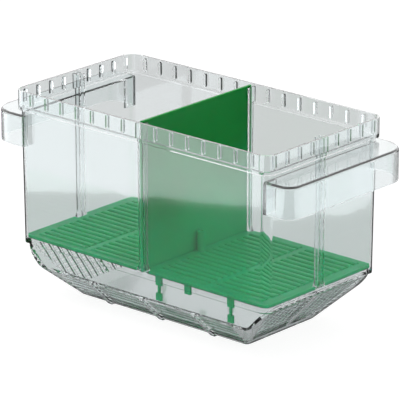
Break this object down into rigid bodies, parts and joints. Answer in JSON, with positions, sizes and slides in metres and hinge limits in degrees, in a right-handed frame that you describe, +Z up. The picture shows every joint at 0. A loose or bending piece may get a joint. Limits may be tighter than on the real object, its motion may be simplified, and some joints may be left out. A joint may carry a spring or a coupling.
{
  "type": "fish breeding box",
  "caption": "Floating fish breeding box: clear ribbed-rim tank with end floats and a slotted boat-shaped hull, holding a lift-out divider and two lift-out floor grates.",
  "frame": {"origin": "middle of the underside of the hull floor", "axes": "+X along the length towards the right float, +Y across towards the back, +Z up"},
  "size_m": [0.237, 0.1084, 0.128],
  "materials": {
    "clear_plastic": "clear gloss",
    "green_plastic": "translucent gloss"
  },
  "bodies": {
    "tank": {"tank": "clear_plastic"},
    "divider": {"divider": "green_plastic"},
    "left_grate": {"left_grate": "green_plastic"},
    "right_grate": {"right_grate": "green_plastic"}
  },
  "joints": [
    {"name": "divider_lift", "type": "slide", "parent": "tank", "child": "divider", "axis": [0, 0, 1], "range_m": [0, 0.1]},
    {"name": "left_grate_lift", "type": "slide", "parent": "tank", "child": "left_grate", "axis": [0, 0, 1], "range_m": [0, 0.115]},
    {"name": "right_grate_lift", "type": "slide", "parent": "tank", "child": "right_grate", "axis": [0, 0, 1], "range_m": [0, 0.115]}
  ]
}
